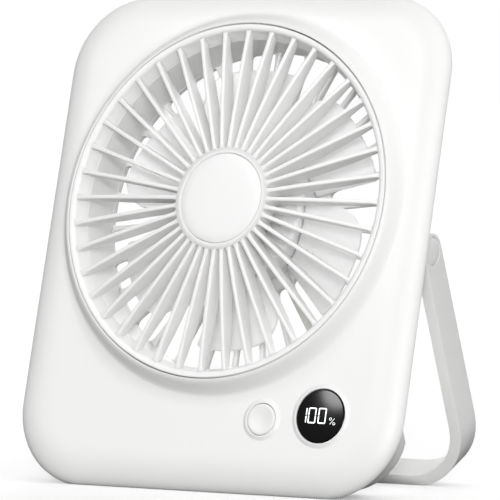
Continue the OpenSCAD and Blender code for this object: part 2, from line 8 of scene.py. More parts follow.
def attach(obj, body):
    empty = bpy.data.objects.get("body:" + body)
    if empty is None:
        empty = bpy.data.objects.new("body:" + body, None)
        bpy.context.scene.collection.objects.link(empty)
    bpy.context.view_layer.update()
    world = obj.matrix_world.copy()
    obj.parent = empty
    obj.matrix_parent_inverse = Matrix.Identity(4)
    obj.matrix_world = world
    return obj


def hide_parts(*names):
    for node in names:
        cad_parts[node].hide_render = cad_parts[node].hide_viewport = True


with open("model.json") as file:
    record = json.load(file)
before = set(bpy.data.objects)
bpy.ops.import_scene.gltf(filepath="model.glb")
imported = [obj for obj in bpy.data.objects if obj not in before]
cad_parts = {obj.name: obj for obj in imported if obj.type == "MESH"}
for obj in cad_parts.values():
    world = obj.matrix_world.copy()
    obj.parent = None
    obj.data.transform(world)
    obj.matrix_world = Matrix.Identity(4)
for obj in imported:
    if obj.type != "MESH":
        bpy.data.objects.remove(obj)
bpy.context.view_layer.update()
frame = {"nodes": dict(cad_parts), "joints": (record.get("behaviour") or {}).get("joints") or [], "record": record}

# ---------------------------------------------------------------- where the fan stands
# The face leans back on the folding handle. Pieces are modelled in millimetres, lying
# face up round the middle of the fan, and are then stood up about the fan's own axis.
MM = 0.001
spin = next(j for j in frame["joints"] if j["name"] == "fan_spin")
swing = next(j for j in frame["joints"] if j["name"] == "handle_swing")
fan_centre = Vector(spin["pos_m"])
out_of_face = Vector(spin["axis"]).normalized()
up_the_face = out_of_face.cross(Vector((1, 0, 0)))
upright = Matrix.Translation(fan_centre) @ Matrix(
    ((1, up_the_face.x, out_of_face.x), (0, up_the_face.y, out_of_face.y), (0, up_the_face.z, out_of_face.z))
).to_4x4() @ Matrix.Scale(MM, 4)


def face_box(node):
    """Lowest and highest corner of a CAD node, in millimetres on the face."""
    back = upright.inverted()
    points = [back @ v.co for v in frame["nodes"][node].data.vertices]
    return [Vector([f(p[i] for p in points) for i in range(3)]) for f in (min, max)]


# ---------------------------------------------------------------- camera, floor and light
# A long lens looks from the front right over a table of plain white paper. An even white
# surround and four broad soft lights, from the right, the front, low down and behind, reach
# through the grilles, so that the fan inside is nearly as pale as the case.
view_distance = 1.4878
view_side = math.radians(31.455)
view_rise = math.radians(1.671)
camera_data = bpy.data.cameras.new("camera")
camera_data.sensor_width = 36
camera_data.lens = 301.3
camera_data.clip_end = 60
camera = bpy.data.objects.new("camera", camera_data)
view_level = math.cos(view_rise)
camera.location = fan_centre + view_distance * Vector(
    (math.sin(view_side) * view_level, -math.cos(view_side) * view_level, math.sin(view_rise))
)
camera.rotation_euler = (math.radians(90 - 2.368), 0, math.radians(31.093))
bpy.context.scene.collection.objects.link(camera)
bpy.context.scene.camera = camera
bpy.context.scene.view_settings.view_transform = "Standard"

surround = bpy.data.worlds.new("surround")
surround.use_nodes = True
sky = surround.node_tree.nodes["Background"]
sky.inputs["Color"].default_value = (1, 1, 1, 1)
backdrop = surround.node_tree.nodes.new("ShaderNodeLightPath")
sky_level = surround.node_tree.nodes.new("ShaderNodeMapRange")
sky_level.inputs["To Min"].default_value = 0.53
sky_level.inputs["To Max"].default_value = 1.0
surround.node_tree.links.new(backdrop.outputs["Is Camera Ray"], sky_level.inputs["Value"])
surround.node_tree.links.new(sky_level.outputs["Result"], sky.inputs["Strength"])
bpy.context.scene.world = surround


def broad_light(name, comes_from, strength, spread):
    """A very large, distant soft light, so that the table is lit evenly."""
    lamp = bpy.data.lights.new(name, "SUN")
    lamp.energy = strength
    lamp.angle = math.radians(spread)
    holder = bpy.data.objects.new(name, lamp)
    holder.rotation_euler = Vector(comes_from).to_track_quat("Z", "Y").to_euler()
    bpy.context.scene.collection.objects.link(holder)


broad_light("key_light", (0.85, -0.3, 0.45), 0.37, 60)
broad_light("front_light", (0.48, -0.85, 0.2), 1.17, 12)
broad_light("low_light", (0.5, -0.86, -0.03), 1.6, 32)
broad_light("back_light", (-0.25, 0.95, 0.15), 1.9, 60)

# A round soft box for the highlight on the polished window. It also brightens the face a little.
gloss_distance = 1.3
gloss = bpy.data.lights.new("gloss_light", "AREA")
gloss.shape = "DISK"
gloss.size = 0.4
gloss.energy = 11
gloss_box = bpy.data.objects.new("gloss_light", gloss)
gloss_box.location = fan_centre + gloss_distance * Vector((-0.35, -0.77, 0.53))
gloss_box.rotation_euler = (gloss_box.location - fan_centre).to_track_quat("Z", "Y").to_euler()
gloss_box.visible_diffuse = False
bpy.context.scene.collection.objects.link(gloss_box)

bpy.ops.object.select_all(action="DESELECT")
bpy.ops.mesh.primitive_grid_add(x_subdivisions=8, y_subdivisions=8, size=40, location=(0, 0, 0))
floor = bpy.context.object
floor.name = "floor"
paper = bpy.data.materials.new("white_paper")
paper.use_nodes = True
paper_nodes = paper.node_tree.nodes
paper_links = paper.node_tree.links
paper_shader = paper_nodes["Principled BSDF"]
paper_shader.inputs["Roughness"].default_value = 0.9
paper_shader.inputs["Specular IOR Level"].default_value = 0.1
seen = paper_nodes.new("ShaderNodeLightPath")
tone = paper_nodes.new("ShaderNodeMix")
tone.data_type = "RGBA"
tone.inputs["A"].default_value = (0.07, 0.07, 0.07, 1)
tone.inputs["B"].default_value = (1, 1, 1, 1)
paper_links.new(seen.outputs["Is Camera Ray"], tone.inputs["Factor"])
lift = paper_nodes.new("ShaderNodeMapRange")
lift.inputs["To Min"].default_value = 0
lift.inputs["To Max"].default_value = 0.22
paper_links.new(seen.outputs["Is Camera Ray"], lift.inputs["Value"])
paper_links.new(lift.outputs["Result"], paper_shader.inputs["Emission Strength"])
paper_shader.inputs["Emission Color"].default_value = (1, 1, 1, 1)
paper_links.new(tone.outputs["Result"], paper_shader.inputs["Base Color"])
floor.data.materials.append(paper)


# ---------------------------------------------------------------- moulded white plastic
# The case, grilles, blades, handle and button are injection moulded ABS. It has a fine
# spark-eroded texture, and its gloss and its white shift a little from place to place.
def linear(hex_colour):
    channels = [int(hex_colour[i : i + 2], 16) / 255 for i in (1, 3, 5)]
    return [c / 12.92 if c <= 0.04045 else ((c + 0.055) / 1.055) ** 2.4 for c in channels] + [1]


def finish(name, colour, shade, grain, grain_height, rough, metal=0.0, specular=0.4, drift=0.02, depth=0.0):
    """A surface with slow colour drift, uneven gloss and a fine relief; sizes in metres.

    Thin white mouldings let some light through: depth is their share of it.
    """
    material = bpy.data.materials.new(name)
    material.use_nodes = True
    nodes, links = material.node_tree.nodes, material.node_tree.links
    shader = nodes["Principled BSDF"]
    shader.inputs["Metallic"].default_value = metal
    shader.inputs["Specular IOR Level"].default_value = specular
    shader.inputs["Subsurface Weight"].default_value = depth
    shader.inputs["Subsurface Radius"].default_value = (1, 1, 1)
    shader.inputs["Subsurface Scale"].default_value = 0.003
    place = nodes.new("ShaderNodeTexCoord")
    slow = nodes.new("ShaderNodeTexNoise")
    slow.inputs["Scale"].default_value = 1 / drift
    slow.inputs["Detail"].default_value = 3
    links.new(place.outputs["Object"], slow.inputs["Vector"])
    tint = nodes.new("ShaderNodeMix")
    tint.data_type = "RGBA"
    tint.inputs["A"].default_value = linear(colour)
    tint.inputs["B"].default_value = linear(shade)
    links.new(slow.outputs["Fac"], tint.inputs["Factor"])
    links.new(tint.outputs["Result"], shader.inputs["Base Color"])
    fine = nodes.new("ShaderNodeTexNoise")
    fine.inputs["Scale"].default_value = 1 / grain
    fine.inputs["Detail"].default_value = 4
    links.new(place.outputs["Object"], fine.inputs["Vector"])
    gloss = nodes.new("ShaderNodeMapRange")
    gloss.inputs["To Min"].default_value = rough[0]
    gloss.inputs["To Max"].default_value = rough[1]
    links.new(fine.outputs["Fac"], gloss.inputs["Value"])
    links.new(gloss.outputs["Result"], shader.inputs["Roughness"])
    relief = nodes.new("ShaderNodeBump")
    relief.inputs["Distance"].default_value = grain_height
    relief.inputs["Strength"].default_value = 1
    links.new(fine.outputs["Fac"], relief.inputs["Height"])
    links.new(relief.outputs["Normal"], shader.inputs["Normal"])
    return material


abs_case = finish("moulded_abs", "#f4f4f3", "#f2f2f1", 0.0006, 0.000006, (0.38, 0.5))
abs_grille = finish("moulded_abs_grille", "#f7f7f6", "#f5f5f4", 0.0006, 0.000005, (0.36, 0.46), depth=0.3)


# ---------------------------------------------------------------- front shell
# One soft-cornered ABS moulding: a pillowed face, a round boss that rises to the grille
# seam, a ledge under the grille and the air duct behind it. Screwed on from the back.
seam_r = 65.2
boss_foot = 70.8
boss_h = 5.5
duct_r = 60.5
duct_outer = 62.1
duct_low = -22.1
wall = 1.8
face_z = -boss_h
front_edge_in, front_edge_deep = 12.0, 5.5
split_z = face_z - front_edge_deep - 0.2
front_half_h, front_corner = 91.0, 29.0
front_outline = (face_box("front_shell")[1].x, front_half_h, front_corner)
case_y = -13.0
EDGE, LIP, SKIN = 200, 300, 50


def outside(x, y, outline):
    """Distance of a point outside a rectangle with round corners, less than 0 inside."""
    half_w, half_h, corner = outline
    qx, qy = abs(x) - half_w + corner, abs(y - case_y) - half_h + corner
    return math.hypot(max(qx, 0), max(qy, 0)) + min(max(qx, qy), 0) - corner


def reach(angle, outline, inset=0.0):
    """How far the outline lies from the middle of the fan in one direction."""
    near, far = 40.0, 160.0
    for _ in range(26):
        middle = (near + far) / 2
        if outside(middle * math.cos(angle), middle * math.sin(angle), outline) > -inset:
            far = middle
        else:
            near = middle
    return near


def spun(name, profile, steps):
    """Draws a profile point by point, (radius, height), and spins it round."""
    bpy.ops.object.select_all(action="DESELECT")
    bpy.ops.mesh.primitive_plane_add(size=1)
    piece = bpy.context.object
    piece.name = piece.data.name = name
    bpy.ops.object.mode_set(mode="EDIT")
    bpy.ops.mesh.select_mode(type="VERT")
    bpy.ops.mesh.select_all(action="SELECT")
    bpy.ops.mesh.merge(type="CENTER")
    bpy.ops.transform.translate(value=(profile[0][0], 0, profile[0][1]))
    for a, b in zip(profile, profile[1:]):
        bpy.ops.mesh.extrude_region_move(TRANSFORM_OT_translate={"value": (b[0] - a[0], 0, b[1] - a[1])})
    bpy.ops.mesh.select_all(action="SELECT")
    bpy.ops.mesh.spin(steps=steps, angle=2 * math.pi, center=(0, 0, 0), axis=(0, 0, 1))
    bpy.ops.mesh.select_all(action="SELECT")
    bpy.ops.mesh.remove_doubles(threshold=0.004)
    bpy.ops.mesh.select_all(action="SELECT")
    bpy.ops.mesh.normals_make_consistent(inside=False)
    bpy.ops.object.mode_set(mode="OBJECT")
    return piece


def picked(piece):
    """Makes a piece the only selected one and the active one."""
    bpy.ops.object.select_all(action="DESELECT")
    piece.select_set(True)
    bpy.context.view_layer.objects.active = piece


def cut(piece, *tools):
    """Subtracts the tools from the piece and throws them away."""
    for tool in tools:
        hole = piece.modifiers.new("hole", "BOOLEAN")
        hole.operation = "DIFFERENCE"
        hole.solver = "EXACT"
        hole.object = tool
        picked(piece)
        bpy.ops.object.modifier_apply(modifier="hole")
        bpy.data.objects.remove(tool)


def plug(radius, low, high, x=0.0, y=0.0, sides=96):
    """A round tool for cutting a hole."""
    bpy.ops.object.select_all(action="DESELECT")
    bpy.ops.mesh.primitive_cylinder_add(
        vertices=sides, radius=radius, depth=high - low, location=(x, y, (low + high) / 2)
    )
    bpy.ops.object.transform_apply(location=True, rotation=True, scale=True)
    return bpy.context.object


def together(name, *parts):
    """Joins parts that were moulded as one."""
    picked(parts[0])
    for part in parts:
        part.select_set(True)
    bpy.ops.object.join()
    parts[0].name = parts[0].data.name = name
    return parts[0]


def placed(piece, x, y):
    """Moves a piece to its point on the face."""
    picked(piece)
    piece.location = (x, y, 0)
    bpy.ops.object.transform_apply(location=True, rotation=True, scale=True)
    return piece


def fitted(piece, body, material, nodes=(), stand=upright, smooth=32):
    """Stands a finished piece up, gives it its finish and fixes it to its body."""
    picked(piece)
    piece.matrix_world = stand
    bpy.ops.object.transform_apply(location=True, rotation=True, scale=True)
    bpy.ops.object.shade_smooth_by_angle(angle=math.radians(smooth))
    piece.data.materials.clear()
    piece.data.materials.append(material)
    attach(piece, body)
    if nodes:
        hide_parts(*nodes)
    return piece


def front_height(x, y):
    """Height of the soft outer face over a point: the boss runs into the pillowed edge."""
    inside = -outside(x, y, front_outline)
    r = math.hypot(x, y)
    edge = front_edge_deep
    if inside < front_edge_in:
        edge = front_edge_deep * math.sqrt(max(0.0, 1 - (1 - max(inside, 0.0) / front_edge_in) ** 2))
    boss = 0.0
    slope_start, slope_w = 65.4, 5.6
    if r < slope_start + slope_w:
        boss = boss_h * (0.5 + 0.5 * math.cos(math.pi * max(0.0, r - slope_start) / slope_w))
    return face_z - front_edge_deep + edge + boss


def shaped(piece, outlines, height, start):
    """Draws a spun piece out to its rounded-rectangle outline, from the start radius on.

    A radius counted from EDGE lies that far inside the first outline, and one counted from
    LIP that far inside the second. A height from SKIN on is taken from the outer surface.
    """
    known = {}
    for v in piece.data.vertices:
        r, angle = math.hypot(v.co.x, v.co.y), math.atan2(v.co.y, v.co.x)
        if r > LIP - 10:
            r = reach(angle, outlines[1], r - LIP)
        elif r > EDGE - 10:
            r = reach(angle, outlines[0], r - EDGE)
        elif r > start and v.co.z >= SKIN:
            key = round(angle, 5)
            if key not in known:
                known[key] = reach(angle, outlines[0])
            r = start + (known[key] - start) * (r - start) / (100 - start)
        v.co.x, v.co.y = r * math.cos(angle), r * math.sin(angle)
        if v.co.z >= SKIN:
            v.co.z = height(v.co.x, v.co.y, v.co.z)
    piece.data.update()


rows = 18
shell_profile = [(seam_r, -0.4), (seam_r + 0.06, -0.14), (seam_r + 0.25, SKIN)]
shell_profile += [(r, SKIN) for r in (66, 66.6, 67.2, 67.8, 68.4, 69, 69.6, 70.2, boss_foot)]
shell_profile += [(boss_foot + (100 - boss_foot) * (1 - (1 - k / rows) ** 2), SKIN) for k in range(1, rows)]
shell_profile += [(EDGE, SKIN), (EDGE, split_z + 0.15), (EDGE + 0.15, split_z), (EDGE + 1.75, split_z),
    (EDGE + wall, split_z + 0.1), (EDGE + wall, -10.6), (EDGE + 6, -8.6), (68, face_z - wall),
    (duct_outer + 0.1, face_z - wall), (duct_outer, face_z - 2.2), (duct_outer, duct_low + 0.1),
    (duct_outer - 0.1, duct_low), (duct_r + 0.1, duct_low), (duct_r, duct_low + 0.1), (duct_r, face_z - 0.3),
    (duct_r + 0.3, face_z), (seam_r - 0.1, face_z), (seam_r, face_z + 0.1), (seam_r, -0.4)]
front_shell = spun("front_shell_moulding", shell_profile, 240)
shaped(front_shell, [front_outline], lambda x, y, z: front_height(x, y), boss_foot)

button_low, button_high = face_box("power_button")
button_x, button_y = (button_low.x + button_high.x) / 2, (button_low.y + button_high.y) / 2
lens_low, lens_high = face_box("display_lens")
lens_x, lens_y = (lens_low.x + lens_high.x) / 2, (lens_low.y + lens_high.y) / 2
button_hole, lens_hole = 5.8, (lens_high.x - lens_low.x) / 2 + 0.1
cut(front_shell,
    plug(button_hole + 0.5, -12, 2, button_x, button_y),
    plug(lens_hole + 0.5, -12, 2, lens_x, lens_y))


def collar(name, r, x, y):
    """Soft ring round a hole in the face; its foot runs out flush with the face."""
    width, height = 2.0, 0.6
    ring = [(r, face_z - 1.9), (r, face_z + height - 0.35), (r + 0.06, face_z + height - 0.12),
        (r + 0.2, face_z + height)]
    for k in range(1, 11):
        fall = 0.5 + 0.5 * math.cos(math.pi * k / 10)
        ring.append((r + 0.3 + (width - 0.3) * k / 10, face_z - 0.01 + height * fall))
    ring += [(r + width - 0.2, face_z - 0.4), (r + 0.7, face_z - 1.9), (r, face_z - 1.9)]
    return placed(spun(name, ring, 96), x, y)


front_shell = together("front_shell_moulding", front_shell,
    collar("button_collar", button_hole, button_x, button_y),
    collar("lens_collar", lens_hole, lens_x, lens_y))
fitted(front_shell, "case", abs_case, ["front_shell"])


def stood_flat(piece):
    """Trims the lower edge flat where it stands on the table."""
    picked(piece)
    bpy.ops.object.mode_set(mode="EDIT")
    bpy.ops.mesh.select_all(action="SELECT")
    bpy.ops.mesh.bisect(plane_co=(0, 0, 0), plane_no=(0, 0, 1), use_fill=True, clear_inner=True)
    bpy.ops.object.mode_set(mode="OBJECT")


stood_flat(front_shell)


# ---------------------------------------------------------------- front grille
# A separate ABS moulding that snaps into the round seam: forty thin radial ribs run from
# a solid centre, which swells forward a little, out to a soft rim that sits on the ledge.
grille_r = 64.8
rim_inner = 62.3
centre_r = 18.7
dome_h = 2.0
rib_count = 40


def dome(r):
    """Height of the ribs' front edges at a radius."""
    return dome_h - (dome_h + 0.3) * ((r - centre_r) / (rim_inner - centre_r)) ** 2


def softened(piece, width, steps, from_angle):
    """Rounds the edges that are sharper than an angle."""
    picked(piece)
    soften = piece.modifiers.new("soft_edges", "BEVEL")
    soften.width = width
    soften.segments = steps
    soften.limit_method = "ANGLE"
    soften.angle_limit = math.radians(from_angle)
    soften.use_clamp_overlap = True
    bpy.ops.object.modifier_apply(modifier="soft_edges")
    return piece


def bar(name, rows_of_corners, round_by, round_steps=3):
    """A long piece from rows of four corners, with its long edges rounded by a bevel."""
    bpy.ops.object.select_all(action="DESELECT")
    bpy.ops.mesh.primitive_plane_add(size=1)
    piece = bpy.context.object
    piece.name = piece.data.name = name
    bpy.ops.object.mode_set(mode="EDIT")
    for _ in rows_of_corners[1:]:
        bpy.ops.mesh.extrude_region_move(TRANSFORM_OT_translate={"value": (0, 0, 1)})
    bpy.ops.object.mode_set(mode="OBJECT")
    levels = {}
    for v in piece.data.vertices:
        levels.setdefault(round(v.co.z), []).append(v)
    corner = {(-1, -1): 0, (1, -1): 1, (1, 1): 2, (-1, 1): 3}
    for level, corners in levels.items():
        for v in corners:
            side = (1 if v.co.x > 0 else -1, 1 if v.co.y > 0 else -1)
            v.co = rows_of_corners[level][corner[side]]
    piece.data.update()
    bpy.ops.object.mode_set(mode="EDIT")
    bpy.ops.mesh.select_all(action="SELECT")
    bpy.ops.mesh.normals_make_consistent(inside=False)
    bpy.ops.object.mode_set(mode="OBJECT")
    return softened(piece, round_by, round_steps, 40)


def all_round(piece, count, start=0.0):
    """Copies a piece evenly round the fan's axis, each copy with its own mesh."""
    copies = [piece]
    for k in range(1, count):
        copy = piece.copy()
        copy.data = piece.data.copy()
        bpy.context.scene.collection.objects.link(copy)
        copies.append(copy)
    for k, copy in enumerate(copies):
        copy.data.transform(Matrix.Rotation(start + 2 * math.pi * k / count, 4, "Z"))
    return copies


def rib_rows(stations):
    """Corner rows of a radial rib from (radius, half width, half width behind, top, low)."""
    return [[(r, -back, low), (r, back, low), (r, front, top), (r, -front, top)]
        for r, front, back, top, low in stations]


half = 0.78
tip_narrower = 0.2
rib_low = -5.8
stations = []
for r, flare in ((17.6, 0.72), (18.6, 0.72), (18.85, 0.42), (19.2, 0.2), (19.7, 0.07), (20.6, 0.0)):
    stations.append((r, half + flare, half - tip_narrower + flare, dome(max(r, centre_r)) - 0.03, -5.4))
for r, flare in [(r, 0) for r in (24, 28, 32, 36, 40, 44, 48, 52, 56, 59.5)] + [
        (61, 0.06), (61.8, 0.2), (62.3, 0.45), (62.9, 0.7)]:
    low = rib_low + 2.2 * max(0.0, (r - 42) / 20.3) ** 1.5
    stations.append((r, half + flare, half - tip_narrower + flare, dome(r) - 0.03, low))
rib = bar("rib", rib_rows(stations), 0.5)
ribs = all_round(rib, rib_count)

rim = spun("rim", [(duct_r + 0.1, -5.35), (duct_r + 0.5, -4.2), (rim_inner - 0.5, -2.4),
    (rim_inner - 0.12, -1.3), (rim_inner, -0.85), (rim_inner + 0.14, -0.5), (rim_inner + 0.4, -0.24),
    (rim_inner + 0.8, -0.08), (rim_inner + 1.3, 0), (grille_r - 0.25, 0), (grille_r - 0.06, -0.12),
    (grille_r, -0.4), (grille_r, -5.2), (grille_r - 0.1, -5.4), (duct_r + 0.15, -5.4),
    (duct_r + 0.1, -5.35)], 240)
cover_r = 16.4
hub_disc = spun("hub_disc", [(0, 0.4), (cover_r + 0.05, 0.4), (cover_r + 0.1, 0.5),
    (cover_r + 0.1, dome_h - 0.3), (16.56, dome_h - 0.12), (16.75, dome_h), (18.2, dome_h - 0.01),
    (18.75, dome_h - 0.06), (18.8, dome_h - 0.3), (18.8, -5.0), (18.4, -5.4), (16.5, -5.4),
    (cover_r, -5.2), (cover_r, -1.2), (0, -1.2)], 160)
front_grille = together("front_grille_moulding", rim, hub_disc, *ribs)
fitted(front_grille, "case", abs_grille, ["front_grille"])

# The centre has a round cover, pressed in and almost flush.
grille_cap = spun("grille_centre_cover", [(0, 0.45), (16.2, 0.45), (cover_r - 0.02, 0.6),
    (cover_r - 0.02, dome_h - 0.22), (16.3, dome_h - 0.04), (16.05, dome_h + 0.02), (13, dome_h + 0.08),
    (8, dome_h + 0.14), (0, dome_h + 0.18)], 160)
fitted(grille_cap, "case", abs_grille, ["grille_cap"])


# ---------------------------------------------------------------- rear grille
# A dished ABS moulding that carries the motor on a wide solid disc. Thirty ribs join the
# disc to a flanged ring, which the back shell clamps against the duct.
rear_low, rear_high = face_box("rear_grille")
rear_disc_r = 31.0
ring_low, ring_top = rear_low.z, -22.2
flange_low = -23.6
flange_r = (rear_high.x - rear_low.x) / 2
rear_ring = spun("rear_ring", [(duct_r, ring_low + 0.4), (duct_r + 0.4, ring_low), (flange_r - 2.2, ring_low),
    (flange_r - wall, ring_low + 0.4), (flange_r - wall, flange_low), (flange_r, flange_low),
    (flange_r, ring_top), (duct_r + 0.3, ring_top), (duct_r, -22.5), (duct_r, ring_low + 0.4)], 240)
rear_disc = spun("rear_disc", [(0, ring_low + 0.5), (26.1, ring_low + 0.5), (26.4, ring_low + 0.4),
    (26.6, ring_low + 0.1), (26.9, ring_low), (30.4, ring_low), (30.85, ring_low + 0.18),
    (rear_disc_r, ring_low + 0.6), (rear_disc_r, -22.7), (30.8, -22.35), (30.4, ring_top),
    (0, ring_top)], 160)
half = 0.85
rear_rib_count = 30
stations = [(r, half + flare, half + flare, ring_top - 0.2, ring_low + 0.25)
    for r, flare in ((29.5, 1.3), (31, 1.3), (31.3, 0.75), (31.8, 0.36), (32.5, 0.12), (33.5, 0), (40, 0),
        (50, 0), (57.5, 0), (59, 0.15), (59.8, 0.4), (60.4, 0.9), (61.4, 0.9))]
rear_ribs = all_round(bar("rear_rib", rib_rows(stations), 0.5), rear_rib_count, math.pi / rear_rib_count)
rear_grille = together("rear_grille_moulding", rear_ring, rear_disc, *rear_ribs)
fitted(rear_grille, "case", abs_grille, ["rear_grille"])


# ---------------------------------------------------------------- impeller
# One ABS moulding: a cup that hides the motor and six broad blades. Each blade rises to
# the front on one side, where its outer corner is widely rounded. It is pressed on the shaft.
# The blades' white is painted lighter than the case's: painted light that stands in for the light the shade inside
# the duct takes away.
abs_blade_painted_lighter = finish("moulded_abs_blades_painted_lighter", "#fdfdfd", "#fbfbfb", 0.0008, 0.000004, (0.3, 0.4), depth=1.0)
hub_top = face_box("impeller")[1].z
hub_r = 26.8
tip_r = 51.8
blade_count = 6
blade_turn = 38
blade_half = 24.0
blade_middle = -15.35
blade_t = 1.2
front_corner_r, rear_corner_r = 15.0, 1.2


def blade_height(a):
    """The blade's pitch of 8 mm over 50 degrees, a little cupped."""
    return blade_middle + 8 * a / 50 + 1.2 * (math.cos(math.radians(a * 3.6)) - 0.5)


bpy.ops.object.select_all(action="DESELECT")
bpy.ops.mesh.primitive_grid_add(x_subdivisions=16, y_subdivisions=22, size=2)
blade = bpy.context.object
blade.name = blade.data.name = "blade"
for v in blade.data.vertices:
    share = (v.co.x + 1) / 2
    r = hub_r - 0.9 + (tip_r - hub_r + 0.9) * (1 - (1 - share) ** 1.5)
    corner = front_corner_r if v.co.y > 0 else rear_corner_r
    over = max(0.0, r - tip_r + corner)
    lost = (corner - math.sqrt(max(0.0, corner**2 - over**2))) / r
    a = v.co.y * (blade_half - math.degrees(lost))
    turn = math.radians(blade_turn + a)
    v.co = (r * math.cos(turn), r * math.sin(turn), blade_height(a) - blade_t / 2)
blade.data.update()
thick = blade.modifiers.new("thickness", "SOLIDIFY")
thick.thickness = blade_t
thick.offset = 1
bpy.ops.object.modifier_apply(modifier="thickness")
blade_set = all_round(softened(blade, 0.35, 2, 50), blade_count)
hub_cup = spun("hub_cup", [(0, hub_top), (24.6, hub_top), (25.6, hub_top - 0.12), (26.3, hub_top - 0.5),
    (26.7, hub_top - 1.1), (hub_r, hub_top - 1.9), (hub_r, -21.0), (26.6, -21.2), (25.5, -21.2),
    (25.3, -21.0), (25.3, hub_top - 1.9), (24.9, hub_top - 1.5), (15.7, hub_top - 1.5),
    (15.55, hub_top - 1.7), (15.55, -20.0), (14.1, -20.0), (14.05, hub_top - 1.6), (0, hub_top - 1.5)], 160)
web_half, web_low = 0.6, -17.7
web = bar("web", [[(x, -web_half, web_low), (x, web_half, web_low), (x, web_half, hub_top - 1),
    (x, -web_half, hub_top - 1)] for x in (14.8, 20, 25.9)], 0.15, 1)
webs = all_round(web, 6, math.radians(30))
impeller = together("fan_moulding", hub_cup, *blade_set, *webs)
fitted(impeller, "fan", abs_blade_painted_lighter, ["impeller"], smooth=40)


# ---------------------------------------------------------------- rear shell
# The shallow ABS tray that closes the case. Its edge is rounded, its foot bulges back over
# the battery, and its flange fits inside the front shell. Four screws hold it from behind.
bulge_out = 3.5
back_z = face_box("rear_shell")[0].z + bulge_out
back_step, back_half_h, back_corner = 6.4, 85.3, 22.0
back_outline = (front_outline[0] - back_step, back_half_h, back_corner)
back_edge_r, bulge_edge_r = 6.0, 4.0
bulge_start, bulge_run = -73.6, 7.6
flange_z = split_z + 0.1
hole_r = 64.9
SIDE = 60


def back_height(x, y, code):
    """The rounded back with its battery bulge; heights from SIDE to SIDE + 10 climb the side wall."""
    inside = max(0.0, -outside(x, y, back_outline))
    level = []
    for edge, flat in ((back_edge_r, back_z), (bulge_edge_r, back_z - bulge_out)):
        drop = edge - math.sqrt(edge**2 - (edge - inside) ** 2) if inside < edge else 0.0
        level.append(flat + drop)
    t = min(1.0, max(0.0, (bulge_start - y) / bulge_run))
    t = t * t * (3 - 2 * t)
    surface = level[0] + (level[1] - level[0]) * t
    return surface if code < SIDE else surface + (flange_z - surface) * (code - SIDE) / 10


rows = 38
tray_floor = -23.7
tray_profile = [(hole_r, back_z + 1.7), (hole_r, back_z + 0.3), (hole_r + 0.1, back_z + 0.08)]
tray_profile.append((hole_r + 0.3, SKIN))
start = hole_r + 0.35
tray_profile += [(start + (100 - start) * (1 - (1 - k / rows) ** 2), SKIN) for k in range(rows)]
tray_profile += [(EDGE, SKIN)] + [(EDGE, SIDE + up) for up in (1, 3, 5, 7, 8.6, 9.6)]
tray_profile += [(EDGE - 0.3, flange_z), (LIP + 1.95, flange_z), (LIP + 1.9, flange_z + 0.1),
    (LIP + 1.9, flange_z + 0.8), (LIP + 3.1, flange_z + 1.8), (EDGE + wall, flange_z + 1.7),
    (EDGE + wall, -21), (EDGE + 3, tray_floor + 0.5), (EDGE + 5, tray_floor), (66.4, tray_floor),
    (hole_r, back_z + 1.7)]
rear_shell = spun("rear_shell_moulding", tray_profile, 240)
shaped(rear_shell, [back_outline, front_outline], back_height, start)

screw_low, screw_high = face_box("case_screws")
screw_head_r = 2.6
screw_places = [(s * (back_outline[0] - 12), screw_high.y - screw_head_r) for s in (-1, 1)]
screw_places += [(s * (screw_high.x - screw_head_r), screw_low.y + screw_head_r) for s in (-1, 1)]
usb_low, usb_high = face_box("usb_socket")
usb_x, usb_y = (usb_low.x + usb_high.x) / 2, (usb_low.y + usb_high.y) / 2


def drawn_apart(piece, by):
    """Pulls the two halves of a round piece apart, so that it gets straight sides."""
    for v in piece.data.vertices:
        v.co.x += by if v.co.x > 1e-4 else -by
    return piece


usb_half_flat = 2.9
well_r, well_seat, well_top = 2.9, -23.3, -12.8
cut(rear_shell,
    *[plug(well_r, -31, -22, x, y, 48) for x, y in screw_places],
    placed(drawn_apart(plug(1.75, -31, -20, sides=48), usb_half_flat), usb_x, usb_y))
well_profile = [(1.5, well_seat), (well_r, well_seat), (well_r, well_seat - 1), (well_r + 0.6, well_seat - 1),
    (well_r + 0.6, well_top), (1.5, well_top), (1.5, well_seat)]
screw_wells = [placed(spun("screw_well", well_profile, 48), x, y) for x, y in screw_places]
rear_shell = together("rear_shell_moulding", rear_shell, *screw_wells)
fitted(rear_shell, "case", abs_case, ["rear_shell"])


# ---------------------------------------------------------------- screws
# Small zinc-plated pan-head screws with a cross recess: four hold the case together and
# three hold the motor's base to the rear grille.
zinc = finish("zinc_plate", "#b9bcc0", "#a3a6ab", 0.0003, 0.000003, (0.22, 0.4), metal=1.0, drift=0.004)


def cross_screw(name, head_r, head_z, seat_z, shank_r, end_z, x, y):
    """A screw driven in from behind, from its domed head to the end of its shank."""
    deep = seat_z - head_z
    head = [(head_r * out, head_z + deep * up)
        for out, up in ((0, 0), (0.45, 0.03), (0.75, 0.14), (0.94, 0.36), (1, 0.6))]
    shank = [(head_r, seat_z), (shank_r, seat_z), (shank_r, end_z - shank_r), (0, end_z)]
    screw = spun(name, head + shank, 48)
    slots = []
    for long_x, long_y in ((1.15, 0.26), (0.26, 1.15)):
        bpy.ops.object.select_all(action="DESELECT")
        bpy.ops.mesh.primitive_cube_add(size=1, location=(0, 0, head_z))
        slot_tool = bpy.context.object
        slot_tool.scale = (long_x * head_r, long_y * head_r, deep * 1.1)
        bpy.ops.object.transform_apply(location=True, rotation=True, scale=True)
        slots.append(slot_tool)
    cut(screw, *slots)
    return placed(screw, x, y)


